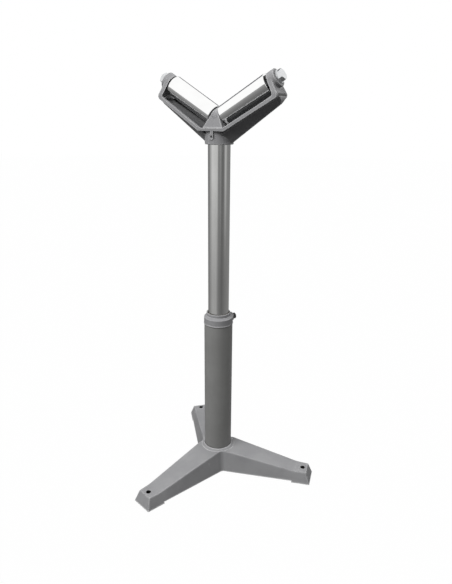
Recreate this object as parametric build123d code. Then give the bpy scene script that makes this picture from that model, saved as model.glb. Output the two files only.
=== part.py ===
"""Pipe jack stand: a cast tripod foot, a telescoping column and a V head with two rollers.

Lengths are millimetres. The origin is on the column's axis at floor level, +Z is up,
the V opens along X and pipes lie along Y, with the head's set screw facing -Y.
"""
from build123d import *
import math
import os

# Gaps shared by all pieces
seat_gap = 0.05
running_gap = 0.15
loose_gap = 0.3
overrun = 20.0

# Tripod foot
leg_count = 3
leg_turn = 16.5
bolt_circle = 503.0
bolt_hole = 12.0
foot_toe = 24.5
leg_end_draft = 11.5
pad_length = 34.0
pad_foot_length = 48.0
pad_height = 31.5
leg_height = 65.2
leg_end_width_top = 44.0
leg_end_width_foot = 62.0
leg_root_width_top = 75.0
leg_root_width_foot = 94.5
relief_height = 4.5
leg_edge_round = 3.0
leg_end_round = 2.4
crotch_round = 16.0
crotch_margin = 1.5
foot_wall = 7.5
hub_web = 16.0
core_length = 68.0

# Socket for the outer tube, and the bolt that pulls the tube down into it
socket_floor = 30.0
socket_web = 12.0
socket_lip = 4.6
socket_lip_width = 8.0
socket_lip_slope = 6.0
bolt_recess_radius = 18.0
tie_bolt_d = 12.0
tie_bolt_head_width = 18.0
tie_bolt_head = 7.5
tie_washer_d = 24.0
tie_washer = 2.5
tube_plug = 14.0

# Sliding column, with the ring that guides its foot
column_d = 55.0
column_wall = 3.5
column_length = 544.0
column_overlap = 47.0
foot_flange = 6.0
foot_flange_gap = 2.85
foot_plug_depth = 22.0
guide_ring_height = 17.6
keeper_ring = 2.0
keeper_groove_depth = 1.2
keeper_ring_reach = 3.0
keeper_ring_split = 7.5

# Outer tube and the guide collar on its top
outer_tube_length = 417.0
outer_tube_wall = 3.2
outer_tube_gap = 7.35
collar_rim = 0.65
collar_edge = 17.5
collar_shoulder_rise = 3.7
collar_neck = 8.3
collar_neck_wall = 2.3
collar_spigot = 10.0
collar_round = 1.0
bush_wall = 2.0
bush_recess = 0.6

# Clamp screw through the collar
clamp_turn = 63.2
clamp_rise = 8.3
clamp_boss_d = 24.0
clamp_boss_reach = 3.0
clamp_screw_d = 10.0
clamp_head_d = 16.0
clamp_head = 10.0
clamp_key_width = 8.0
clamp_key_depth = 5.0
clamp_pad_step = 0.7
clamp_pad_length = 4.0

# Rollers, their bearings and axles
roller_d = 48.0
roller_wall = 4.0
roller_length = 135.0
roller_edge = 1.0
roller_shoulder = 1.0
bearing_bore = 17.0
bearing_width = 12.0
bearing_sunk = 3.2
ring_share = 0.287
ball_share = 0.574
cage_share = 0.148
ball_count = 8
raceway_gap = 0.15
seal = 0.6
seal_sunk = 0.2
end_cap = 2.0
end_cap_sunk = 0.4
spacer_wall = 2.6
axle_step = 0.5
axle_end_gap = 0.6
axle_head_width = 24.0
axle_head = 10.0
axle_washer_d = 30.0
axle_washer = 3.0
head_chamfer = 0.8

# V head: each arm is drawn along its own roller axis, from the point where the axes meet
arm_rise = 30.0
vee_rise = 22.0
vee_gap = 3.1
post_gap = 2.5
end_gap = 5.5
post_seat = 7.5
post_disc_d = 44.0
post_foot_width = 62.0
end_wall = 11.0
end_wall_round = 9.0
end_edge_round = 1.0
end_root_round = 6.0
end_boss_d = 42.0
end_boss = 19.3
tray_clearance = 8.5
tray_edge = 9.0
tray_recess = 4.0
tray_lip = 6.5
tray_root = 17.5
tray_width_root = 77.4
tray_width_end = 51.8
keel_root = 10.0
keel_width_root = 54.0
keel_width_end = 35.0
keel_depth_root = 22.5
keel_depth_end = 10.5
keel_foot_root = 8.0
keel_foot_end = 6.0
keel_foot_round = 2.0
keel_end_round = 18.0
keel_end_margin = 0.2
casting_round = 1.5
head_socket_wall = 7.2
head_socket_depth = 35.4
set_screw_rise = 17.9
set_screw_d = 10.0
set_screw_key_width = 5.0
set_screw_key_depth = 4.0
set_screw_boss_d = 15.0
set_screw_boss_rise = 1.0
set_screw_sunk = 0.4
rib_offset = 3.5
rib_width = 8.0

# Radii and widths worked out from the sizes above
column_r = column_d / 2
outer_tube_bore_r = column_r + outer_tube_gap
outer_tube_r = outer_tube_bore_r + outer_tube_wall
bush_bore_r = column_r + running_gap
bush_outer_r = bush_bore_r + bush_wall
collar_bore_r = bush_outer_r + seat_gap
collar_neck_r = collar_bore_r + collar_neck_wall
collar_r = outer_tube_r + collar_rim
clamp_boss_end = collar_r + clamp_boss_reach
clamp_pad_r = clamp_screw_d / 2 - clamp_pad_step
head_socket_r = column_r + head_socket_wall
roller_r = roller_d / 2
bearing_r = roller_r - roller_wall
bearing_bore_r = bearing_bore / 2
bearing_section = bearing_r - bearing_bore_r
bearing_ring = bearing_section * ring_share
ball_d = bearing_section * ball_share
cage_wall = bearing_section * cage_share
cage_width = bearing_width - 2 * (seal_sunk + seal + loose_gap)
ball_circle_r = (bearing_r + bearing_bore_r) / 2
spacer_r = bearing_bore_r + spacer_wall
axle_thread_r = bearing_bore_r - axle_step

# Distances from the column's axis
leg_reach_foot = bolt_circle / 2 + foot_toe
leg_reach_top = leg_reach_foot - leg_end_draft
pad_start = leg_reach_top - pad_length
pad_foot_start = leg_reach_foot - pad_foot_length
hub_reach = (leg_root_width_foot / 2 + crotch_round) / math.tan(math.pi / leg_count) + crotch_margin
core_start = outer_tube_r + socket_lip_width + hub_web

# Heights above the floor
socket_lip_top = leg_height + socket_lip
bolt_recess_top = socket_floor - socket_web
collar_seat = socket_floor + outer_tube_length
collar_foot = collar_seat - collar_spigot
collar_shoulder = collar_seat + collar_edge
collar_neck_foot = collar_shoulder + collar_shoulder_rise
collar_neck_top = collar_neck_foot + collar_neck
clamp_height = collar_seat + clamp_rise
column_foot = collar_seat - column_overlap
column_top = column_foot + column_length
guide_ring_foot = column_foot + loose_gap
guide_ring_top = guide_ring_foot + guide_ring_height
keeper_foot = guide_ring_top + loose_gap
vee_height = column_top + vee_rise
head_socket_bottom = column_top - head_socket_depth
set_screw_height = head_socket_bottom + set_screw_rise

# Stations along a roller's axis, and drops below it
roller_start = roller_r * math.tan(math.radians(arm_rise)) + vee_gap
roller_end = roller_start + roller_length
post_face = roller_start - post_gap
axle_seat = post_face - post_seat
end_wall_start = roller_end + end_gap
end_wall_face = end_wall_start + end_wall
end_boss_face = end_wall_start + end_boss
tray_top = roller_r + tray_clearance
tray_bottom = tray_top + tray_edge
keel_drop_root = tray_bottom + keel_depth_root
keel_drop_end = tray_bottom + keel_depth_end


def along(place, first, last, value_first, value_last):
    """A size that changes in a straight line between two places."""
    return value_first + (value_last - value_first) * (place - first) / (last - first)


def face_through(points):
    """A flat face inside a closed outline of straight lines."""
    return make_face(Polyline(*points, close=True))


def rod(radius, low, high, inner=0):
    """A round bar or sleeve on the Z axis, from one height to another."""
    bar = Pos(0, 0, low) * Cylinder(radius, high - low, align=(Align.CENTER, Align.CENTER, Align.MIN))
    if inner:
        bar -= rod(inner, low - overrun, high + overrun)
    return bar


def hexagon(width, low, high):
    """A hexagonal bar on the Z axis, given across its flats."""
    outline = Pos(0, 0, low) * RegularPolygon(width / 2, 6, major_radius=False)
    return extrude(outline, high - low)


def turned(points):
    """A solid turned about the Z axis from an outline of radius and height."""
    return revolve(face_through([(radius, 0, height) for radius, height in points]), Axis.Z)


def screw_head(width, low, high):
    """A hexagon head with its outer corners turned off."""
    corner_r = width / 2 + head_chamfer
    cone = turned([(0, low), (width, low), (width, high - head_chamfer), (corner_r, high - head_chamfer),
                   (width / 2, high), (0, high)])
    return hexagon(width, low, high) & cone


# Places of the legs, the clamp screw and the two arms

leg_places = [Rot(0, 0, leg_turn + turn * 360 / leg_count) for turn in range(leg_count)]
clamp_place = Pos(0, 0, clamp_height) * Rot(0, 0, clamp_turn) * Rot(0, 90, 0)
set_screw_place = Pos(0, 0, set_screw_height) * Rot(90, 0, 0)
axle_place = Pos(0, 0, vee_height) * Rot(0, 90 - arm_rise, 0)


def leg_height_at(reach):
    """Height of a leg's top: level over the hub, one slope, then the level foot pad."""
    reach = min(max(reach, hub_reach), pad_start)
    return along(reach, hub_reach, pad_start, leg_height, pad_height)


def leg_section(reach_foot, reach_top, inset=0):
    """One cross section of a leg, wider at its foot, or the core that lies a wall inside it."""
    half_foot = along(reach_foot, hub_reach, leg_reach_foot, leg_root_width_foot, leg_end_width_foot) / 2
    half_top = along(reach_top, hub_reach, leg_reach_top, leg_root_width_top, leg_end_width_top) / 2
    height = leg_height_at(reach_top)
    section = face_through([
        (reach_foot, -half_foot + inset, 0),
        (reach_foot, half_foot - inset, 0),
        (reach_top, half_top - inset, height - inset),
        (reach_top, -half_top + inset, height - inset),
    ])
    return fillet(section.vertices().sort_by(Axis.Z)[-2:], leg_edge_round)


def leg():
    """One leg with softened edges, lofted from the hub through its slope, pad and slanted end."""
    stations = [(hub_reach, hub_reach), (pad_start, pad_start), (leg_reach_foot, leg_reach_top)]
    body = loft([leg_section(*station) for station in stations], ruled=True)
    end_edges = body.faces().sort_by(Axis.X)[-1].edges()
    foot_edge = end_edges.sort_by(Axis.Z)[0]
    return fillet([edge for edge in end_edges if edge != foot_edge], leg_end_round)


def leg_cores():
    """The two pockets cast into the underside of a leg, with a rib between them."""
    pockets = []
    start = core_start
    while start + core_length < pad_foot_start:
        ends = [leg_section(reach, reach, foot_wall) for reach in (start, start + core_length)]
        pockets.append(loft(ends, ruled=True))
        start += core_length + foot_wall
    return pockets


def hub_outline(half_width, height):
    """The hub's outline at one height: the end of each leg, and a crotch between each two."""
    corners = []
    for place in leg_places:
        crotch = Rot(0, 0, 180 / leg_count) * Pos(half_width / math.sin(math.pi / leg_count), 0, height)
        for corner in (Pos(hub_reach, -half_width, height), Pos(hub_reach, half_width, height), crotch):
            corners.append((place * corner).position)
    return face_through(corners)


def hub():
    """The middle of the foot, with rounded crotches between the legs and a softened top."""
    outlines = [hub_outline(leg_root_width_foot / 2, 0), hub_outline(leg_root_width_top / 2, leg_height)]
    body = loft(outlines, ruled=True)
    upright = body.edges().filter_by(lambda edge: edge.bounding_box().size.Z > leg_height / 2)
    body = fillet(upright.sort_by_distance((0, 0, leg_height / 2))[:leg_count], crotch_round)
    ends = [(place * Pos(hub_reach, 0, leg_height)).position for place in leg_places]
    top = body.faces().sort_by(Axis.Z)[-1].edges()
    sides = [edge for edge in top if min(edge.distance_to(Vertex(*end)) for end in ends) > leg_edge_round]
    return fillet(sides, leg_edge_round)


def base_casting():
    """The tripod foot: three legs, a socket for the tube and a recess for the tie bolt."""
    body = hub()
    one_leg = leg()
    for place in leg_places:
        body += place * one_leg
    lip_r = outer_tube_r + socket_lip_width
    body += turned([(0, socket_floor), (lip_r, socket_floor), (lip_r, leg_height),
                    (lip_r - socket_lip_slope, socket_lip_top), (0, socket_lip_top)])
    body -= rod(outer_tube_r + seat_gap, socket_floor, socket_lip_top + overrun)
    body -= rod(pad_foot_start, -overrun, relief_height)
    body -= rod(bolt_recess_radius, -overrun, bolt_recess_top)
    body -= rod(tie_bolt_d / 2 + loose_gap, -overrun, socket_floor + overrun)
    for place in leg_places:
        body -= place * Pos(bolt_circle / 2, 0, 0) * rod(bolt_hole / 2, -overrun, pad_height + overrun)
        for pocket in leg_cores():
            body -= place * pocket
    return body


def outer_tube():
    """The fixed tube, with the hole in its wall where the clamp screw passes."""
    tube = rod(outer_tube_r, socket_floor, collar_seat, outer_tube_bore_r)
    return tube - clamp_place * rod(clamp_screw_d / 2 + loose_gap, 0, clamp_boss_end + overrun)


def tube_plug_piece():
    """The steel plug welded into the tube's foot, tapped for the tie bolt."""
    return rod(outer_tube_bore_r - seat_gap, socket_floor, socket_floor + tube_plug, tie_bolt_d / 2 + seat_gap)


def tie_washer_piece():
    """The washer under the tie bolt's head."""
    return rod(tie_washer_d / 2, bolt_recess_top - tie_washer, bolt_recess_top, tie_bolt_d / 2 + loose_gap)


def tie_bolt():
    """The bolt that pulls the tube down into the foot, put in from below."""
    head_top = bolt_recess_top - tie_washer
    shank = rod(tie_bolt_d / 2, head_top, socket_floor + tube_plug)
    head = Pos(0, 0, head_top) * Rot(180, 0, 0) * screw_head(tie_bolt_head_width, 0, tie_bolt_head)
    return shank + head


def guide_collar():
    """The collar on the outer tube, with its neck round the column and its clamp boss."""
    body = turned([
        (collar_bore_r, collar_foot), (outer_tube_bore_r - seat_gap, collar_foot),
        (outer_tube_bore_r - seat_gap, collar_seat), (collar_r, collar_seat),
        (collar_r, collar_shoulder - collar_round), (collar_r - collar_round, collar_shoulder),
        (collar_neck_r, collar_neck_foot), (collar_neck_r, collar_neck_top - collar_round),
        (collar_neck_r - collar_round, collar_neck_top), (collar_bore_r, collar_neck_top),
    ])
    boss = clamp_place * rod(clamp_boss_d / 2, bush_outer_r, clamp_boss_end)
    boss -= rod(outer_tube_r + seat_gap, socket_floor, collar_seat)
    boss -= rod(collar_bore_r, socket_floor, collar_neck_top)
    body += boss
    return body - clamp_place * rod(clamp_screw_d / 2 + seat_gap, 0, clamp_boss_end + overrun)


def guide_bush():
    """The plain bush that the column slides and turns in, with a hole for the clamp pad."""
    bush = rod(bush_outer_r, collar_foot, collar_neck_top - bush_recess, bush_bore_r)
    return bush - clamp_place * rod(clamp_pad_r + loose_gap, 0, clamp_boss_end)


def clamp_screw():
    """The socket-head screw that locks the column at its height."""
    tip = column_r + seat_gap + clamp_pad_length
    screw = rod(clamp_screw_d / 2, tip, clamp_boss_end)
    head = rod(clamp_head_d / 2, clamp_boss_end, clamp_boss_end + clamp_head)
    head = fillet(head.edges().filter_by(GeomType.CIRCLE).sort_by(Axis.Z)[-1], head_chamfer)
    key_floor = clamp_boss_end + clamp_head - clamp_key_depth
    head -= hexagon(clamp_key_width, key_floor, clamp_boss_end + clamp_head + overrun)
    return clamp_place * (screw + head)


def clamp_pad():
    """The soft pad on the screw's tip, which presses on the column."""
    start = column_r + seat_gap
    return clamp_place * rod(clamp_pad_r, start, start + clamp_pad_length)


def column_tube():
    """The plated column, with the groove for the ring that keeps its guide ring on."""
    tube = rod(column_r, column_foot, column_top, column_r - column_wall)
    groove_r = column_r - keeper_groove_depth
    return tube - rod(column_r + overrun, keeper_foot, keeper_foot + keeper_ring, groove_r)


def column_foot_plug():
    """The plug pressed into the column's foot, whose flange carries the guide ring."""
    flange = rod(outer_tube_bore_r - foot_flange_gap, column_foot - foot_flange, column_foot)
    return flange + rod(column_r - column_wall - seat_gap, column_foot, column_foot + foot_plug_depth)


def guide_ring():
    """The ring that guides the column's foot in the outer tube."""
    return rod(outer_tube_bore_r - loose_gap, guide_ring_foot, guide_ring_top, column_r + running_gap)


def keeper_ring_piece():
    """The split ring in the column's groove, above the guide ring."""
    outer_r = column_r + keeper_ring_reach
    inner_r = column_r - keeper_groove_depth + seat_gap
    ring = rod(outer_r, keeper_foot, keeper_foot + keeper_ring, inner_r)
    return ring - Pos(0, outer_r, keeper_foot) * Box(keeper_ring_split, outer_r, overrun)


def on_arm(reach, rise):
    """A point of the head's side view, from its place along and above the right roller axis."""
    turn = math.radians(arm_rise)
    x = reach * math.cos(turn) - rise * math.sin(turn)
    z = vee_height + reach * math.sin(turn) + rise * math.cos(turn)
    return x, 0, z


def arm_face(reach, outline):
    """A face square to the right roller axis, from points of front offset and rise."""
    arm_direction = Vector(1, 0, 0).rotate(Axis.Y, -arm_rise)
    plane = Plane(origin=on_arm(reach, 0), x_dir=(0, 1, 0), z_dir=arm_direction)
    return plane * make_face(Polyline(*outline, close=True))


def side_view(points, width):
    """A slab that is seen as these stations and rises in the right arm's side view."""
    return extrude(face_through([on_arm(*point) for point in points]), width / 2, both=True)


def mirrored(shape):
    """The same shape on the left side of the head."""
    return mirror(shape, about=Plane.YZ)


def slab(half_width, low, high):
    """Four points of a level band, from its half width and its two rises."""
    return [(-half_width, low), (half_width, low), (half_width, high), (-half_width, high)]


def right_half(low):
    """A block that covers everything on the right of the head's middle, above a height."""
    size = 2 * end_boss_face
    return Pos(0, 0, low) * Box(size, size, size, align=(Align.MIN, Align.CENTER, Align.MIN))


def tray_half(reach):
    """Half of the tray's width at a station along the arm."""
    return along(reach, tray_root, end_wall_start, tray_width_root, tray_width_end) / 2


def arm_tray():
    """The tray under one roller, with a shallow recess inside its lip."""
    stations = (tray_root, end_wall_start)
    body = loft([arm_face(reach, slab(tray_half(reach), -tray_bottom, -tray_top)) for reach in stations], ruled=True)
    body = fillet(body.edges().sort_by(SortBy.LENGTH)[-4:], casting_round)
    floor = -tray_top - tray_recess
    recess = [arm_face(reach, slab(tray_half(reach) - tray_lip, floor, -tray_top + overrun)) for reach in stations]
    return body - loft(recess, ruled=True)


def tray_flat():
    """The level middle of the tray, over the socket."""
    top_x, _, top_z = on_arm(tray_root, -tray_top)
    low_x, _, low_z = on_arm(tray_root, -tray_bottom)
    outline = face_through([(-low_x, 0, low_z), (low_x, 0, low_z), (top_x, 0, top_z), (-top_x, 0, top_z)])
    body = extrude(outline, tray_width_root / 2, both=True)
    return fillet(body.edges().filter_by(Axis.X), casting_round)


def keel_drop(reach):
    """How far the rib's foot lies below the roller axis at a station."""
    return along(reach, keel_root, end_wall_start, keel_drop_root, keel_drop_end)


def keel_section(reach):
    """The rib's cross section under the tray, narrower towards its foot."""
    top = along(reach, keel_root, end_wall_start, keel_width_root, keel_width_end) / 2
    foot = along(reach, keel_root, end_wall_start, keel_foot_root, keel_foot_end) / 2
    drop = keel_drop(reach)
    root = -tray_bottom + tray_recess / 2
    return arm_face(reach, [(-foot, -drop), (foot, -drop), (top, -tray_bottom), (top, root),
                            (-top, root), (-top, -tray_bottom)])


def arm_keel():
    """The rib under one arm, from the middle of the head to its rounded outer end."""
    body = loft([keel_section(reach) for reach in (-tray_bottom, end_wall_face)], ruled=True)
    foot_edges = body.edges().sort_by_distance(on_arm(end_wall_start / 2, -keel_drop_root))[:2]
    body = fillet(foot_edges, keel_foot_round)
    inner, outer = -tray_bottom - overrun, end_wall_face + keel_end_margin
    foot = [(reach, -keel_drop(reach) - keel_end_margin) for reach in (inner, outer)]
    view = side_view([foot[0], foot[1], (outer, 0), (inner, 0)], 2 * tray_width_root)
    view = fillet(view.edges().sort_by_distance(on_arm(*foot[1]))[0], keel_end_round)
    return body & view & right_half(head_socket_bottom)


def arm_end():
    """The wall at the arm's outer end with the round boss that holds the axle."""
    half_boss = end_boss_d / 2
    half_tray = tray_width_end / 2
    outline = [(-half_tray, -tray_bottom), (half_tray, -tray_bottom), (half_tray, -tray_top),
               (half_boss, 0), (-half_boss, 0), (-half_tray, -tray_top)]
    wall = loft([arm_face(reach, outline) for reach in (end_wall_start, end_wall_face)], ruled=True)
    low_corner = on_arm(end_wall_face, -tray_bottom)
    wall = fillet(wall.edges().sort_by_distance(low_corner)[0], end_wall_round)
    outer_face = wall.faces().sort_by_distance(on_arm(end_wall_face, -half_boss))[0]
    sides = outer_face.edges().sort_by_distance(low_corner)[1:]
    sides = sides.sort_by_distance(on_arm(end_wall_face, 0))[1:]
    wall = fillet(sides + wall.edges().filter_by(GeomType.CIRCLE), end_edge_round)
    boss = rod(half_boss, end_wall_start, end_boss_face)
    boss = fillet(boss.edges().sort_by(Axis.Z)[-1], casting_round)
    return wall + axle_place * boss + arm_corner()


def arm_corner():
    """The round by which the tray's lip turns up into the end wall."""
    inner, outer = end_wall_start - end_root_round, end_wall_start + end_wall / 4
    low, high = -tray_top - tray_recess - tray_edge / 8, -tray_top + end_root_round
    block = side_view([(inner, low), (outer, low), (outer, high), (inner, high)], tray_width_end)
    hollow = Rot(90, 0, 0) * Cylinder(end_root_round, 2 * tray_width_root)
    return block - Pos(*on_arm(inner, high)) * hollow


def arm_post():
    """Half of the post between the rollers: a disc on the axle, widening down to the tray."""
    half_foot = post_foot_width / 2
    skirt = [(-half_foot, -tray_bottom), (half_foot, -tray_bottom), (half_foot, -tray_top),
             (post_disc_d / 2, 0), (-post_disc_d / 2, 0), (-half_foot, -tray_top)]
    body = loft([arm_face(reach, skirt) for reach in (-post_disc_d, post_face)], ruled=True)
    body += axle_place * rod(post_disc_d / 2, -post_disc_d, post_face)
    body = fillet(body.faces().sort_by_distance(on_arm(post_face, 0))[0].edges(), casting_round)
    low_z = on_arm(tray_root, -tray_bottom)[2]
    return body & right_half(low_z)


def axle_holes():
    """The holes for one axle: plain through the end boss, tapped and blind in the post."""
    plain = rod(bearing_bore_r + seat_gap, end_wall_start - overrun, end_boss_face + overrun)
    tapped = rod(axle_thread_r + seat_gap, axle_seat, post_face + overrun)
    return axle_place * (plain + tapped)


def set_screw_seat():
    """The pad and rib on the socket's front, round the screw that holds the column."""
    pad = set_screw_place * rod(set_screw_boss_d / 2, column_r + seat_gap, head_socket_r + set_screw_boss_rise)
    rib_top = on_arm(tray_root, -tray_bottom)[2] + tray_recess / 2
    rib = Box(rib_width, tray_width_root / 2 - column_r, rib_top - set_screw_height,
              align=(Align.CENTER, Align.MAX, Align.MIN))
    return pad + Pos(rib_offset, -column_r, set_screw_height) * rib


def head_casting():
    """The V head: socket, two arms with tray and rib, end walls with bosses, and the post."""
    arm = arm_tray() + arm_keel() + arm_end() + arm_post()
    flat_z = on_arm(tray_root, -tray_bottom)[2]
    socket = rod(head_socket_r, head_socket_bottom, flat_z + tray_recess)
    socket = fillet(socket.edges().sort_by(Axis.Z)[0], casting_round)
    body = arm + mirrored(arm) + tray_flat() + socket + set_screw_seat()
    body -= rod(column_r + seat_gap, head_socket_bottom - overrun, column_top + loose_gap)
    body -= set_screw_place * rod(set_screw_d / 2 + seat_gap, 0, head_socket_r + overrun)
    return body - axle_holes() - mirrored(axle_holes())


def set_screw():
    """The socket set screw that bears on the column inside the head."""
    end = head_socket_r + set_screw_boss_rise - set_screw_sunk
    body = rod(set_screw_d / 2, column_r + seat_gap, end)
    key = hexagon(set_screw_key_width, end - set_screw_key_depth, end + overrun)
    return set_screw_place * (body - key)


# Pieces of the right roller, drawn along the Z axis from the point where the axes meet

def bearing_places():
    """Heights of the two bearings' lower faces inside the roller."""
    return (roller_start + bearing_sunk, roller_end - bearing_sunk - bearing_width)


def roller_shell():
    """The plated roller tube with a seat at each end for its bearing."""
    shell = rod(roller_r, roller_start, roller_end, bearing_r - roller_shoulder)
    rims = shell.edges().filter_by(GeomType.CIRCLE).filter_by(lambda edge: edge.radius > bearing_r)
    shell = fillet(rims, roller_edge)
    first, second = bearing_places()
    shell -= rod(bearing_r, roller_start - overrun, first + bearing_width)
    return shell - rod(bearing_r, second, roller_end + overrun)


def raceway(low):
    """The groove that the balls run in, for the bearing whose lower face is at this height."""
    return Pos(0, 0, low + bearing_width / 2) * Torus(ball_circle_r, ball_d / 2 + raceway_gap)


def outer_ring(low):
    """The ring of one bearing that is pressed into the roller."""
    return rod(bearing_r - seat_gap, low, low + bearing_width, bearing_r - bearing_ring) - raceway(low)


def inner_ring(low):
    """The ring of one bearing that is clamped on the axle."""
    return rod(bearing_bore_r + bearing_ring, low, low + bearing_width, bearing_bore_r) - raceway(low)


def ball_places(low):
    """The places of one bearing's balls, evenly spaced."""
    middle = low + bearing_width / 2
    return [Rot(0, 0, turn * 360 / ball_count) * Pos(ball_circle_r, 0, middle) for turn in range(ball_count)]


def balls(low):
    """The balls of one bearing."""
    return [place * Sphere(ball_d / 2) for place in ball_places(low)]


def cage(low):
    """The cage that spaces the balls, with a pocket for each."""
    middle = low + bearing_width / 2
    body = rod(ball_circle_r + cage_wall / 2, middle - cage_width / 2, middle + cage_width / 2,
               ball_circle_r - cage_wall / 2)
    for place in ball_places(low):
        body -= place * Rot(0, 90, 0) * Cylinder(ball_d / 2 + raceway_gap, ball_d)
    return body


def seals(low):
    """The two shields of one bearing, held in its outer ring."""
    outer = bearing_r - bearing_ring - seat_gap
    inner = bearing_bore_r + bearing_ring + loose_gap
    lows = (low + seal_sunk, low + bearing_width - seal_sunk - seal)
    return [rod(outer, start, start + seal, inner) for start in lows]


def end_caps():
    """The dust covers in the roller's two ends."""
    lows = (roller_start + end_cap_sunk, roller_end - end_cap_sunk - end_cap)
    return [rod(bearing_r - seat_gap, start, start + end_cap, spacer_r + loose_gap) for start in lows]


def axle_spacers():
    """The short spacers that keep the roller clear of the post and of the end wall."""
    first, second = bearing_places()
    spans = ((post_face, first), (second + bearing_width, end_wall_start))
    return [rod(spacer_r, low, high, bearing_bore_r) for low, high in spans]


def spacer_tube():
    """The tube on the axle between the two bearings."""
    first, second = bearing_places()
    return rod(spacer_r, first + bearing_width, second, bearing_bore_r)


def axle():
    """The hexagon-headed axle, plain through the roller and screwed into the post."""
    head_seat = end_boss_face + axle_washer
    plain = rod(bearing_bore_r - seat_gap, post_face, head_seat)
    thread = rod(axle_thread_r, axle_seat + axle_end_gap, post_face)
    return plain + thread + screw_head(axle_head_width, head_seat, head_seat + axle_head)


def axle_washer_piece():
    """The washer under the axle's head."""
    return rod(axle_washer_d / 2, end_boss_face, end_boss_face + axle_washer, bearing_bore_r + loose_gap)


def roller_pieces():
    """Every piece on one axle: name to solids, before they are tilted into place."""
    lows = bearing_places()
    return {
        "roller_shell": [roller_shell()],
        "end_caps": end_caps(),
        "bearing_outer_rings": [outer_ring(low) for low in lows],
        "bearing_inner_rings": [inner_ring(low) for low in lows],
        "bearing_balls": [ball for low in lows for ball in balls(low)],
        "bearing_cages": [cage(low) for low in lows],
        "bearing_seals": [shield for low in lows for shield in seals(low)],
        "axle_spacers": axle_spacers(),
        "spacer_tube": [spacer_tube()],
        "axle": [axle()],
    }


def all_pieces():
    """Every node's solids by name."""
    pieces = {
        "base_casting": [base_casting()],
        "outer_tube": [outer_tube()],
        "tube_plug": [tube_plug_piece()],
        "tie_bolt": [tie_bolt()],
        "tie_washer": [tie_washer_piece()],
        "guide_collar": [guide_collar()],
        "guide_bush": [guide_bush()],
        "clamp_screw": [clamp_screw()],
        "clamp_pad": [clamp_pad()],
        "column_tube": [column_tube()],
        "column_foot_plug": [column_foot_plug()],
        "guide_ring": [guide_ring()],
        "keeper_ring": [keeper_ring_piece()],
        "head_casting": [head_casting()],
        "set_screw": [set_screw()],
    }
    washer = axle_place * axle_washer_piece()
    pieces["axle_washers"] = [mirrored(washer), washer]
    for name, solids in roller_pieces().items():
        placed = [axle_place * solid for solid in solids]
        pieces[name + "_right"] = placed
        pieces[name + "_left"] = [mirrored(solid) for solid in placed]
    return pieces


if __name__ == "__main__":
    os.makedirs("parts", exist_ok=True)
    for name, solids in all_pieces().items():
        shape = solids[0] if len(solids) == 1 else Compound(children=solids)
        export_step(shape, os.path.join("parts", name + ".step"))
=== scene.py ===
"""Dresses the pipe jack stand: painted castings, plated column and rollers, screws and their finishes.

Everything is in metres, in the model's own frame: the column stands on the Z axis with the floor at zero.
"""

import math

import bpy
import numpy as np
from mathutils import Matrix, Vector

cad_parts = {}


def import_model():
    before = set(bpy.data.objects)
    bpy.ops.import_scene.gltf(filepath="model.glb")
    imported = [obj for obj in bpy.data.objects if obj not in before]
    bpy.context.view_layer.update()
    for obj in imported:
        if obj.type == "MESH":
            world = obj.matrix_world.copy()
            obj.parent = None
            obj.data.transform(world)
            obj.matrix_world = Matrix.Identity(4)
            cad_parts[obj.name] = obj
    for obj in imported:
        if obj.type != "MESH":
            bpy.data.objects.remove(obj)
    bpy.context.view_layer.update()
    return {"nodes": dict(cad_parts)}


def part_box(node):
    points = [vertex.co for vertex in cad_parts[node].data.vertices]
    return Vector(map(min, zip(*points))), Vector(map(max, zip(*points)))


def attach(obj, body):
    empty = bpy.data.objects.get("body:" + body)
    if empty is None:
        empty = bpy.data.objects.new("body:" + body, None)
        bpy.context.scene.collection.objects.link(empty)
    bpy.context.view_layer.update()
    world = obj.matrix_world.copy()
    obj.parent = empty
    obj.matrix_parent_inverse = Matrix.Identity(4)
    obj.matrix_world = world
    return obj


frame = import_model()
nodes = frame["nodes"]

# Where the photograph was taken from: its bearing, pitch and roll in radians
image_height = 584
focal_pixels = 514.25
sensor_width = 36.0
camera_place = Vector((0.7046, -1.0772, 0.9769))
camera_bearing = 0.56398
camera_pitch = 0.33281
camera_roll = 0.00951
camera_side = math.atan2(camera_place.y, camera_place.x)

# Sizes taken from the model
tube_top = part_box("outer_tube")[1]
tube_radius = tube_top.x
collar_seat = tube_top.z
foot_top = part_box("base_casting")[1].z
head_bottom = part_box("head_casting")[0].z

# The head: the rollers' axes cross at one height, and each arm rises outwards at one slope
vee_height = 0.966
arm_slope = math.radians(30.0)
tray_narrows_from = 0.0175
tray_narrowing = 0.0915

# The foot: a bolt hole at each leg's end
bolt_circle_radius = 0.2515
first_leg = math.radians(16.5)
leg_spacing = math.radians(120.0)

# Soft limits on the castings, each from where a mark begins to where it is whole
tray_under = (-0.0328, -0.0334)
tray_over = (-0.0390, -0.0384)
tray_within = (0.0330, 0.0322)
tray_beyond = (0.028, 0.031)
boss_within = (0.016, 0.010)
boss_under = (-0.046, -0.050)
boss_above = (0.80, 0.85)
hole_within = (0.0067, 0.0061)
hole_clear = (0.010, 0.014)
foot_to_head = (0.10, 0.30)
left_to_right = (-0.03, 0.03)

# The Mix node's sockets for colours, which share their names with those for numbers
mix_first, mix_second, mix_result = 6, 7, 2


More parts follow.
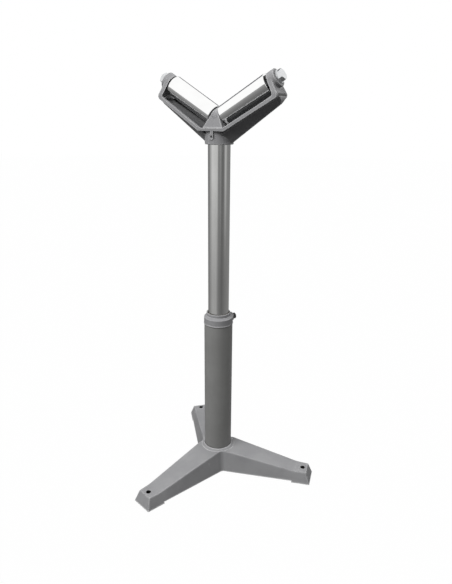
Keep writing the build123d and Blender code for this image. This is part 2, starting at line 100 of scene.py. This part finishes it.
class Value:
    """A number that varies over a surface; sums written on it add their Math nodes."""

    def __init__(self, finish, socket):
        self.finish = finish
        self.socket = socket

    def __add__(self, other):
        return self.finish.math("ADD", self, other)

    def __radd__(self, other):
        return self.finish.math("ADD", other, self)

    def __sub__(self, other):
        return self.finish.math("SUBTRACT", self, other)

    def __rsub__(self, other):
        return self.finish.math("SUBTRACT", other, self)

    def __mul__(self, other):
        return self.finish.math("MULTIPLY", self, other)

    def __rmul__(self, other):
        return self.finish.math("MULTIPLY", other, self)

    def __truediv__(self, other):
        return self.finish.math("DIVIDE", self, other)

    def __rtruediv__(self, other):
        return self.finish.math("DIVIDE", other, self)


class Finish:
    """One material, or the world, built by methods that are named for what they do."""

    def __init__(self, name, kind="Material"):
        store = {"Material": bpy.data.materials, "World": bpy.data.worlds}[kind]
        self.owner = store.new(name)
        self.owner.use_nodes = True
        self.tree = self.owner.node_tree
        self.tree.nodes.clear()
        self.output = self.tree.nodes.new("ShaderNodeOutput" + kind)
        self.place = self.node("TexCoord", {}, {})["Object"]

    def node(self, kind, settings, sockets):
        """Adds a node: its settings first, then the values or links of its sockets."""
        made = self.tree.nodes.new("ShaderNode" + kind)
        for key, value in settings.items():
            if key == "stops":
                ramp = made.color_ramp
                while len(ramp.elements) < len(value):
                    ramp.elements.new(1.0)
                for element, (position, colour) in zip(ramp.elements, value):
                    element.position = position
                    element.color = (*colour, 1.0)
            else:
                setattr(made, key, value)
        for key, value in sockets.items():
            socket = made.inputs[key]
            if isinstance(value, Value):
                value = value.socket
            if isinstance(value, bpy.types.NodeSocket):
                self.tree.links.new(value, socket)
            elif socket.type == "RGBA":
                socket.default_value = (*value, 1.0)
            else:
                socket.default_value = value
        return made.outputs

    def math(self, operation, *values):
        """One step of arithmetic on one or two numbers."""
        return Value(self, self.node("Math", {"operation": operation}, dict(enumerate(values)))[0])

    def clamp(self, value):
        """Keeps a number between 0 and 1."""
        return Value(self, self.node("Clamp", {}, {0: value})[0])

    def step(self, value, low, high, at_low=0.0, at_high=1.0):
        """Goes smoothly from one number to another while value goes from low to high."""
        sockets = {"Value": value, "From Min": low, "From Max": high, "To Min": at_low, "To Max": at_high}
        return Value(self, self.node("MapRange", {"interpolation_type": "SMOOTHSTEP"}, sockets)["Result"])

    def spread(self, noise, at_low=0.0, at_high=1.0):
        """Stretches the middle of a noise's range over a whole step."""
        return self.step(noise, 0.3, 0.7, at_low, at_high)

    def stretched(self, x, y, z):
        """The place on the object, with each direction scaled."""
        return self.node("Mapping", {}, {"Vector": self.place, "Scale": (x, y, z)})[0]

    def noise(self, scale, detail=3.0, roughness=0.5, place=None):
        """Soft blotches around 0.5, scale of them to the metre."""
        sockets = {"Vector": place or self.place, "Scale": scale, "Detail": detail, "Roughness": roughness}
        return Value(self, self.node("TexNoise", {}, sockets)[0])

    def axis(self, name):
        """One coordinate of the place on the object, in metres."""
        return Value(self, self.node("SeparateXYZ", {}, {0: self.place})[name])

    def arm_places(self):
        """How far along an arm of the head, above its roller's axis, aside and across a point lies."""
        across = self.math("ABSOLUTE", self.axis("X"))
        lift = self.axis("Z") - vee_height
        reach = across * math.cos(arm_slope) + lift * math.sin(arm_slope)
        rise = lift * math.cos(arm_slope) - across * math.sin(arm_slope)
        return reach, rise, self.math("ABSOLUTE", self.axis("Y")), across

    def bolt_distance(self):
        """How far a point lies from the axis of the nearest foot's bolt hole.

        The angle is counted in leg spacings, moved on by three to stay above zero and by a half, so that
        each leg's middle lies half way between two whole numbers.
        """
        x, y = self.axis("X"), self.axis("Y")
        radius = self.math("SQRT", x * x + y * y)
        spacings = (self.math("ARCTAN2", y, x) - first_leg) / leg_spacing + 3.5
        aside = (self.math("FRACT", spacings) - 0.5) * leg_spacing * radius
        outward = radius - bolt_circle_radius
        return self.math("SQRT", outward * outward + aside * aside)

    def edges(self, radius, low=0.01, high=0.16):
        """Near 1 where the surface turns sharply within the radius, and 0 where it is plain."""
        soft = self.node("Bevel", {"samples": 16}, {"Radius": radius})[0]
        plain = self.node("NewGeometry", {}, {})["Normal"]
        both = self.node("VectorMath", {"operation": "DOT_PRODUCT"}, {0: soft, 1: plain})
        return self.step(1 - Value(self, both["Value"]), low, high)

    def mix(self, factor, first, second):
        """Goes from the first colour to the second."""
        sockets = {"Factor": factor, mix_first: first, mix_second: second}
        return self.node("Mix", {"data_type": "RGBA"}, sockets)[mix_result]

    def greys(self, place, table, whole):
        """Greys from a table by degrees, read at a place that goes from 0 to 1 over whole degrees."""
        stops = [(degrees / whole + 0.5, (grey,) * 3) for degrees, grey in table]
        return self.node("ValToRGB", {"stops": stops}, {0: place})[0]

    def bump(self, height, distance, strength, normal=None):
        """Raises the surface by height times distance, in metres."""
        sockets = {"Height": height, "Distance": distance, "Strength": strength}
        if normal is not None:
            sockets["Normal"] = normal
        return self.node("Bump", {}, sockets)[0]

    def rounded(self, radius):
        """The surface's direction, with its edges softened over a radius."""
        return self.node("Bevel", {"samples": 6}, {"Radius": radius})[0]

    def seen(self, share=1.0):
        """The share where a ray arrives straight from the camera or by way of metal or glass, 0 elsewhere."""
        path = self.node("LightPath", {}, {})
        camera_ray, glossy_ray, clear_ray, bounces = (
            Value(self, path[key])
            for key in ("Is Camera Ray", "Is Glossy Ray", "Is Transmission Ray", "Diffuse Depth")
        )
        return self.clamp(camera_ray + glossy_ray + clear_ray) * (1 - self.clamp(bounces)) * share

    def end(self, shader):
        """Ends the tree in a shader node's only output, and gives the material or world that owns it."""
        self.tree.links.new(shader[0], self.output.inputs["Surface"])
        return self.owner

    def close(self, **sockets):
        """Ends the material in one surface shader."""
        named = {key.replace("_", " "): value for key, value in sockets.items()}
        return self.end(self.node("BsdfPrincipled", {}, named))


# Finishes

def casting_enamel():
    """Grey enamel sprayed on sand-cast iron: pebbled, a little dusty, pale along its edges from wear and
    painted highlight.

    Painted shade darkens the trays under the rollers, more on the right, and the bolt holes are painted dark
    as shade.
    """
    enamel_dark, enamel_light = (0.262, 0.262, 0.270), (0.305, 0.305, 0.312)
    grain_shade = (0.20, 0.20, 0.203)
    pale_wear_and_highlight = (0.56, 0.56, 0.565)
    tray_painted_shade = (0.016, 0.017, 0.018)
    hole_shade = (0.012, 0.012, 0.012)
    f = Finish("casting_enamel")
    sand = f.noise(520.0)
    lumps = f.noise(90.0)
    clouds = f.noise(14.0, 4.0, 0.6)
    drips = f.step(f.noise(170.0, place=f.stretched(1.0, 1.0, 0.10)), 0.66, 0.73)
    scuffs = drips * f.step(f.noise(17.0), 0.55, 0.62)
    level = f.axis("Z")
    bolt = f.bolt_distance()
    reach, rise, aside, across = f.arm_places()
    screw_boss = f.step(across, *boss_within) * f.step(rise, *boss_under) * f.step(level, *boss_above)
    # Pale edges, partly worn paint and partly a painted highlight, weaker on the head and kept off the screw
    # boss and bolt holes
    edge_wear_and_highlight = f.edges(radius=0.0060, low=0.006, high=0.045) * f.spread(f.noise(60.0), 0.75, 1.0)
    edge_wear_and_highlight = edge_wear_and_highlight * (1 - screw_boss * 0.85)
    rubbed_and_highlit = edge_wear_and_highlight * f.step(level, *foot_to_head, 0.95, 0.50) * f.step(bolt, *hole_clear)
    # Painted shade in the trays under the rollers, deeper on the right than on the left
    narrowed = aside + f.math("MAXIMUM", reach - tray_narrows_from, 0.0) * tray_narrowing
    tray = f.step(rise, *tray_under) * f.step(rise, *tray_over)
    tray = tray * f.step(narrowed, *tray_within) * f.step(across, *tray_beyond)
    tray_shade_depth = f.step(f.axis("X"), *left_to_right, 0.79, 0.97) + f.step(lumps, 0.2, 0.7, 0.02, -0.03)
    paint = f.mix(f.spread(clouds), enamel_dark, enamel_light)
    paint = f.mix(f.step(sand, 0.35, 0.75) * 0.08, paint, grain_shade)
    paint = f.mix(rubbed_and_highlit + scuffs * 0.30, paint, pale_wear_and_highlight)
    paint = f.mix(tray * tray_shade_depth, paint, tray_painted_shade)
    # The bolt holes are painted near black inside as shade
    paint = f.mix(f.step(bolt, *hole_within), paint, hole_shade)
    return f.close(
        Base_Color=paint,
        Roughness=f.step(lumps, 0.25, 0.75, 0.37, 0.45) - edge_wear_and_highlight * 0.06,
        Normal=f.bump(sand * 0.12 + lumps * 0.88, 0.00006, 0.6, f.rounded(0.0009)),
        IOR=1.5,
    )


def tube_enamel():
    """The same enamel on smooth tube: fine orange peel with faint runs down its length."""
    enamel_dark, enamel_light = (0.224, 0.224, 0.218), (0.256, 0.256, 0.250)
    run_shade = (0.21, 0.21, 0.207)
    f = Finish("tube_enamel")
    peel = f.noise(520.0)
    runs = f.noise(60.0, place=f.stretched(1.0, 1.0, 0.06))
    clouds = f.noise(11.0, 4.0, 0.6)
    paint = f.mix(f.spread(clouds), enamel_dark, enamel_light)
    paint = f.mix(f.step(runs, 0.4, 0.7) * 0.25, paint, run_shade)
    return f.close(
        Base_Color=paint,
        Roughness=f.spread(peel, 0.34, 0.44),
        Normal=f.bump(peel * 0.6 + runs * 0.4, 0.00025, 0.6),
        IOR=1.5,
    )


def drawn_chrome():
    """Chrome on a drawn and ground tube: fine lines along it, rougher towards its foot and darker there as
    painted shade.
    """
    chrome_dark, chrome_light = (0.62, 0.62, 0.61), (0.69, 0.69, 0.68)
    foot_shade = (0.56, 0.56, 0.54)
    f = Finish("drawn_chrome")
    lines = f.noise(420.0, 3.0, 0.6, f.stretched(1.0, 1.0, 0.02))
    haze = f.noise(22.0, 4.0, 0.6, f.stretched(1.0, 1.0, 0.35))
    rings = f.noise(260.0, 2.0, 0.5, f.stretched(0.05, 0.05, 1.0))
    foot = f.step(f.axis("Z"), 0.45, 0.95, 1.0, 0.0)
    metal = f.mix(f.step(haze, 0.35, 0.7), chrome_dark, chrome_light)
    # The colour darkens towards the foot as painted shade
    metal = f.mix(foot * 0.25, metal, foot_shade)
    return f.close(
        Base_Color=metal,
        Metallic=1.0,
        Roughness=0.07 + foot * 0.03 + f.spread(lines) * 0.04,
        Normal=f.bump(lines * 0.8 + rings * 0.2, 0.00003, 0.5),
    )


def turned_chrome():
    """Bright chrome on the turned rollers, with the faintest specks and wiping marks."""
    f = Finish("turned_chrome")
    smears = f.noise(38.0, 4.0, 0.6)
    specks = f.noise(600.0, 2.0)
    return f.close(
        Base_Color=f.mix(f.spread(smears), (0.96, 0.96, 0.955), (0.99, 0.99, 0.985)),
        Metallic=1.0,
        Roughness=0.06 + f.step(smears, 0.35, 0.75) * 0.06,
        Normal=f.bump(specks, 0.00003, 0.5, f.rounded(0.0006)),
    )


def bright_zinc():
    """Zinc plate on screws and washers: silvery with a blotchy dull bloom."""
    f = Finish("bright_zinc")
    bloom = f.noise(90.0, 4.0, 0.65)
    grain = f.noise(900.0, 3.0, 0.6)
    return f.close(
        Base_Color=f.mix(f.spread(bloom), (0.66, 0.67, 0.68), (0.80, 0.81, 0.82)),
        Metallic=1.0,
        Roughness=f.spread(bloom, 0.14, 0.26),
        Normal=f.bump(grain, 0.00006, 0.6, f.rounded(0.0005)),
    )


def black_oxide():
    """Oiled black oxide on hardened screws, rubbed a little on its edges."""
    oxide_dark, oxide_light = (0.020, 0.020, 0.021), (0.038, 0.037, 0.036)
    rubbed_steel = (0.16, 0.16, 0.16)
    f = Finish("black_oxide")
    oil = f.noise(160.0, 4.0, 0.6)
    rub = f.edges(radius=0.0006) * f.step(f.noise(300.0, 3.0, 0.6), 0.4, 0.6, 0.3, 1.0)
    metal = f.mix(f.spread(oil), oxide_dark, oxide_light)
    return f.close(
        Base_Color=f.mix(rub * 0.4, metal, rubbed_steel),
        Metallic=0.6,
        Roughness=f.spread(oil, 0.30, 0.44),
        Normal=f.bump(oil, 0.00005, 0.6, f.rounded(0.0004)),
    )


def bare_metal(name, dark, light, roughness, grain_scale):
    """Plain turned metal: two close colours in blotches over a fine turned grain."""
    f = Finish(name)
    blotch = f.noise(70.0, 4.0, 0.6)
    grain = f.noise(grain_scale, 3.0, 0.6)
    return f.close(
        Base_Color=f.mix(f.spread(blotch), dark, light),
        Metallic=1.0,
        Roughness=f.spread(blotch, roughness - 0.06, roughness + 0.06),
        Normal=f.bump(grain, 0.00006, 0.6),
    )


def moulded(name, dark, light, roughness, texture):
    """Moulded plastic or rubber with a fine texture, so many metres deep."""
    f = Finish(name)
    grain = f.noise(1400.0, 3.0, 0.6)
    blotch = f.noise(60.0)
    return f.close(
        Base_Color=f.mix(f.spread(blotch), dark, light),
        Roughness=f.spread(grain, roughness - 0.06, roughness + 0.08),
        Normal=f.bump(grain, texture, 0.7, f.rounded(0.0003)),
    )


finishes = {
    "cast_paint": casting_enamel(),
    "tube_paint": tube_enamel(),
    "column_chrome": drawn_chrome(),
    "roller_chrome": turned_chrome(),
    "zinc_steel": bright_zinc(),
    "black_steel": black_oxide(),
    "bare_steel": bare_metal("bare_steel", (0.40, 0.39, 0.38), (0.52, 0.51, 0.50), 0.38, 700.0),
    "bearing_steel": bare_metal("bearing_steel", (0.60, 0.60, 0.60), (0.68, 0.68, 0.68), 0.16, 1500.0),
    "bush_bronze": bare_metal("bush_bronze", (0.20, 0.18, 0.15), (0.28, 0.25, 0.20), 0.42, 800.0),
    "pad_brass": bare_metal("pad_brass", (0.55, 0.42, 0.18), (0.64, 0.50, 0.24), 0.32, 800.0),
    "guide_plastic": moulded("guide_plastic", (0.55, 0.54, 0.50), (0.62, 0.61, 0.57), 0.45, 0.00004),
    "cap_plastic": moulded("cap_plastic", (0.012, 0.012, 0.013), (0.022, 0.022, 0.023), 0.42, 0.00004),
    "seal_rubber": moulded("seal_rubber", (0.016, 0.015, 0.014), (0.028, 0.027, 0.026), 0.55, 0.00006),
}

# The set screw is painted over along with the casting
painted_over = casting_enamel()
for name, node in nodes.items():
    for place in node.material_slots:
        slot = place.material.name.split(".")[0]
        place.material = painted_over if name == "set_screw" else finishes[slot]


# Surfaces worked out as grids of points

def turned(radius, turn, height):
    """Points at a distance from the Z axis, an angle round it and a height, each a number or an array."""
    return np.stack(np.broadcast_arrays(radius * np.cos(turn), radius * np.sin(turn), height), axis=-1)


def full_turn(count):
    """Angles round a whole turn in even steps, without the first one again at the end."""
    return np.linspace(0.0, 2 * math.pi, count + 1)[:-1]


def surface(name, points, closed):
    """A mesh over a grid of points; where it is closed, the last row and column join the first ones."""
    rows, columns = points.shape[:2]
    index = np.arange(rows * columns).reshape(rows, columns)
    if closed:
        index = np.vstack([index, index[:1]])
        index = np.hstack([index, index[:, :1]])
    corners = (index[:-1, :-1], index[:-1, 1:], index[1:, 1:], index[1:, :-1])
    faces = np.stack([corner.ravel() for corner in corners], axis=1)
    mesh = bpy.data.meshes.new(name)
    mesh.from_pydata(points.reshape(-1, 3), [], faces.tolist())
    mesh.polygons.foreach_set("use_smooth", [True] * len(mesh.polygons))
    piece = bpy.data.objects.new(name, mesh)
    bpy.context.scene.collection.objects.link(piece)
    return piece


def finish_piece(piece, slot, body):
    """Gives a new piece its finish and the body that it moves with."""
    piece.data.materials.append(finishes[slot])
    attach(piece, body)


def stage_sheet(name, points, material, only_mirrored=False):
    """A sheet that isn't part of the object. Only polished metal mirrors it if only_mirrored is set."""
    sheet = surface(name, points, False)
    sheet.data.materials.append(material)
    if only_mirrored:
        for kind in ("camera", "diffuse", "transmission", "volume_scatter", "shadow"):
            setattr(sheet, "visible_" + kind, False)


# Small forms laid over the castings

# The waves of a bead's lower edge: how many to the turn, where they begin and how high they are
bead_waves = ((5, 0.6, 1.0), (11, 2.1, 0.7), (23, 0.0, 0.5))
points_round_tube = 240
points_round_bead = 16


def ring_bead(name, slot, height, middle, half_height, half_width, wave):
    """A bead round the tube: an ellipse carried round a circle of radius middle at a height.

    Its lower half swells and shrinks with a sum of three sines of the angle, wave high at most,
    as a run of paint or filler does.
    """
    turn = full_turn(points_round_tube)[:, None]
    section = full_turn(points_round_bead)[None, :]
    sines = sum(share * np.sin(count * turn + start) for count, start, share in bead_waves)
    swell = sines / sum(share for count, start, share in bead_waves)
    lower = (1 - np.sin(section)) / 2
    radius = middle + half_width * np.cos(section)
    level = height + half_height * np.sin(section) - wave * (1 + swell) / 2 * lower
    finish_piece(surface(name, turned(radius, turn, level), True), slot, "base")


ring_bead("collar_bead", "cast_paint", height=collar_seat - 0.0008, middle=tube_radius + 0.0003,
          half_height=0.0011, half_width=0.0010, wave=0.0012)
# A thin dark ring just under the collar's bead, standing as the bead's painted shadow
ring_bead("collar_shadow_ring", "cap_plastic", height=collar_seat - 0.0026, middle=tube_radius - 0.0001,
          half_height=0.0005, half_width=0.0004, wave=0.0011)
ring_bead("foot_joint", "cap_plastic", height=foot_top + 0.0001, middle=tube_radius + 0.0002,
          half_height=0.0005, half_width=0.0007, wave=0.0003)


# Studio: a floor and a surround that show white, soft lamps, and greys that only polished metal mirrors

white = (1.0, 1.0, 1.0)
world_colour = (0.8, 0.8, 0.8)
world_light = 0.10

# The floor shows white but for half a percent, which is left to its own colour and to the stand's shadow
floor_radius = 12.0
floor_rings = 3
floor_points = 65
floor_colour = (0.07, 0.07, 0.07)
floor_seen_share = 0.995

# The dish of greys: its profile of radius and height, and the height above which the head mirrors it
dish_profile = ((0.0, 0.002), (0.4, 0.002), (1.6, 0.002), (1.6, 0.93))
dish_points = 97
head_level = head_bottom + 0.017
head_level_soft = 0.01

# What the column mirrors nearly level and further down, in degrees from the camera's side, and what the head
# mirrors, in degrees of slope from straight down to level
level_greys = [(-180, 0.25), (-122, 0.25), (-101, 0.48), (-72, 0.84), (-17, 0.74), (-8, 0.30),
               (10, 0.30), (17, 0.38), (27, 0.20), (48, 0.20), (70, 0.70), (92, 0.32), (180, 0.25)]
down_greys = [(-180, 0.25), (-122, 0.27), (-72, 0.50), (-30, 0.50), (-6, 0.26),
              (30, 0.17), (70, 0.25), (120, 0.32), (180, 0.25)]
head_greys = [(-90, 0.10), (-45, 0.15), (-20, 0.22), (0, 0.38)]
level_to_down = (0.05, 0.32)

# The dark card behind the stand
card_distance = 3.0
card_bearings = (145.0, 215.0)
card_heights = (0.96, 3.1)
card_points = 15
card_grey = (0.16, 0.16, 0.17)

# Lamps: bearing from the camera's side and rise, in degrees, width in metres and power in watts
lamp_target = Vector((0.0, 0.0, 0.55))
lamp_distance = 5.5
lamps = {
    "key_lamp": (-46.0, 47.0, 3.0, 312.0),
    "side_lamp": (82.0, 25.0, 2.6, 78.0),
    "back_lamp": (172.0, 38.0, 3.0, 90.0),
    "top_lamp": (-20.0, 82.0, 3.0, 46.0),
}


def floor():
    """A level disc that shows white, from its middle out in rings."""
    f = Finish("pale_floor")
    matt = f.node("BsdfDiffuse", {}, {"Color": floor_colour})
    glow = f.node("Emission", {}, {"Color": white, "Strength": 1.0})
    mixed = f.node("MixShader", {}, {0: f.seen(floor_seen_share), 1: matt[0], 2: glow[0]})
    radius = np.linspace(0.0, floor_radius, floor_rings)[:, None]
    turn = np.linspace(0.0, 2 * math.pi, floor_points)[None, :]
    stage_sheet("floor", turned(radius, turn, 0.0), f.end(mixed))


def world():
    """Even light from all round, seen as white by the camera and in reflections."""
    f = Finish("surround", "World")
    even = f.node("Background", {}, {"Color": world_colour, "Strength": world_light})
    glow = f.node("Background", {}, {"Color": white, "Strength": 1.0})
    mixed = f.node("MixShader", {}, {0: f.seen(), 1: even[0], 2: glow[0]})
    bpy.context.scene.world = f.end(mixed)


def dish():
    """A round dish of greys about the stand, its profile of radius and height turned once round.

    From the head it shows a floor that darkens underfoot, and from the column it shows soft upright
    bands, pale on the left and darker on the right. It tells them apart by the height at which a
    reflected ray set out: the place it reached, less its length along its direction. The bearing
    of the ray is counted from the camera's side, which lies in the middle of the tables.
    """
    f = Finish("dish_greys")
    back = f.node("SeparateXYZ", {}, {0: f.node("NewGeometry", {}, {})["Incoming"]})
    drop = Value(f, back["Z"])
    set_out = f.axis("Z") + drop * Value(f, f.node("LightPath", {}, {})["Ray Length"])
    slope = f.math("ARCSINE", drop) * (-1 / math.pi) + 0.5
    bearing = f.math("ARCTAN2", Value(f, back["Y"]) * -1, Value(f, back["X"]) * -1)
    bearing = bearing - camera_side + 3 * math.pi
    turned_share = f.math("FRACT", bearing / (2 * math.pi))
    bands = f.mix(f.step(drop, *level_to_down), f.greys(turned_share, level_greys, 360),
                  f.greys(turned_share, down_greys, 360))
    from_head = f.step(set_out, head_level, head_level + head_level_soft)
    grey = f.mix(from_head, bands, f.greys(slope, head_greys, 180))
    material = f.end(f.node("Emission", {}, {"Color": grey, "Strength": 1.0}))
    profile = np.array(dish_profile)
    turn = np.linspace(0.0, 2 * math.pi, dish_points)[None, :]
    stage_sheet("dish", turned(profile[:, :1], turn, profile[:, 1:]), material, only_mirrored=True)


def back_card():
    """A dark upright sheet far behind the stand: it draws the thin dark line along the rollers' tops."""
    f = Finish("back_card_grey")
    material = f.end(f.node("Emission", {}, {"Color": card_grey, "Strength": 1.0}))
    turn = camera_side + np.radians(np.linspace(*card_bearings, card_points))[None, :]
    height = np.array(card_heights)[:, None]
    stage_sheet("back_card", turned(card_distance, turn, height), material, only_mirrored=True)


def lamp(name, bearing, rise, width, power):
    """A square soft lamp that looks at the middle of the stand and isn't mirrored."""
    turn = camera_side + math.radians(bearing)
    lift = math.radians(rise)
    away = Vector((math.cos(turn) * math.cos(lift), math.sin(turn) * math.cos(lift), math.sin(lift)))
    data = bpy.data.lights.new(name, "AREA")
    data.size = width
    data.energy = power
    light = bpy.data.objects.new(name, data)
    light.location = lamp_target + away * lamp_distance
    light.rotation_euler = away.to_track_quat("Z", "Y").to_euler()
    light.visible_glossy = False
    bpy.context.scene.collection.objects.link(light)


def camera():
    """The camera where the photograph's was: turned by its bearing, pitched down and rolled a little."""
    forward = Vector((-math.sin(camera_bearing) * math.cos(camera_pitch),
                      math.cos(camera_bearing) * math.cos(camera_pitch), -math.sin(camera_pitch)))
    level = Vector((math.cos(camera_bearing), math.sin(camera_bearing), 0.0))
    upright = level.cross(forward)
    right = level * math.cos(camera_roll) + upright * math.sin(camera_roll)
    up = upright * math.cos(camera_roll) - level * math.sin(camera_roll)
    data = bpy.data.cameras.new("camera")
    data.sensor_fit = "AUTO"
    data.sensor_width = sensor_width
    data.lens = focal_pixels * sensor_width / image_height
    shot = bpy.data.objects.new("camera", data)
    turned_to = Matrix((right, up, -forward)).transposed().to_4x4()
    shot.matrix_world = Matrix.Translation(camera_place) @ turned_to
    bpy.context.scene.collection.objects.link(shot)
    bpy.context.scene.camera = shot


floor()
world()
dish()
back_card()
for name, (bearing, rise, width, power) in lamps.items():
    lamp(name, bearing, rise, width, power)
camera()
bpy.context.scene.view_settings.view_transform = "Standard"
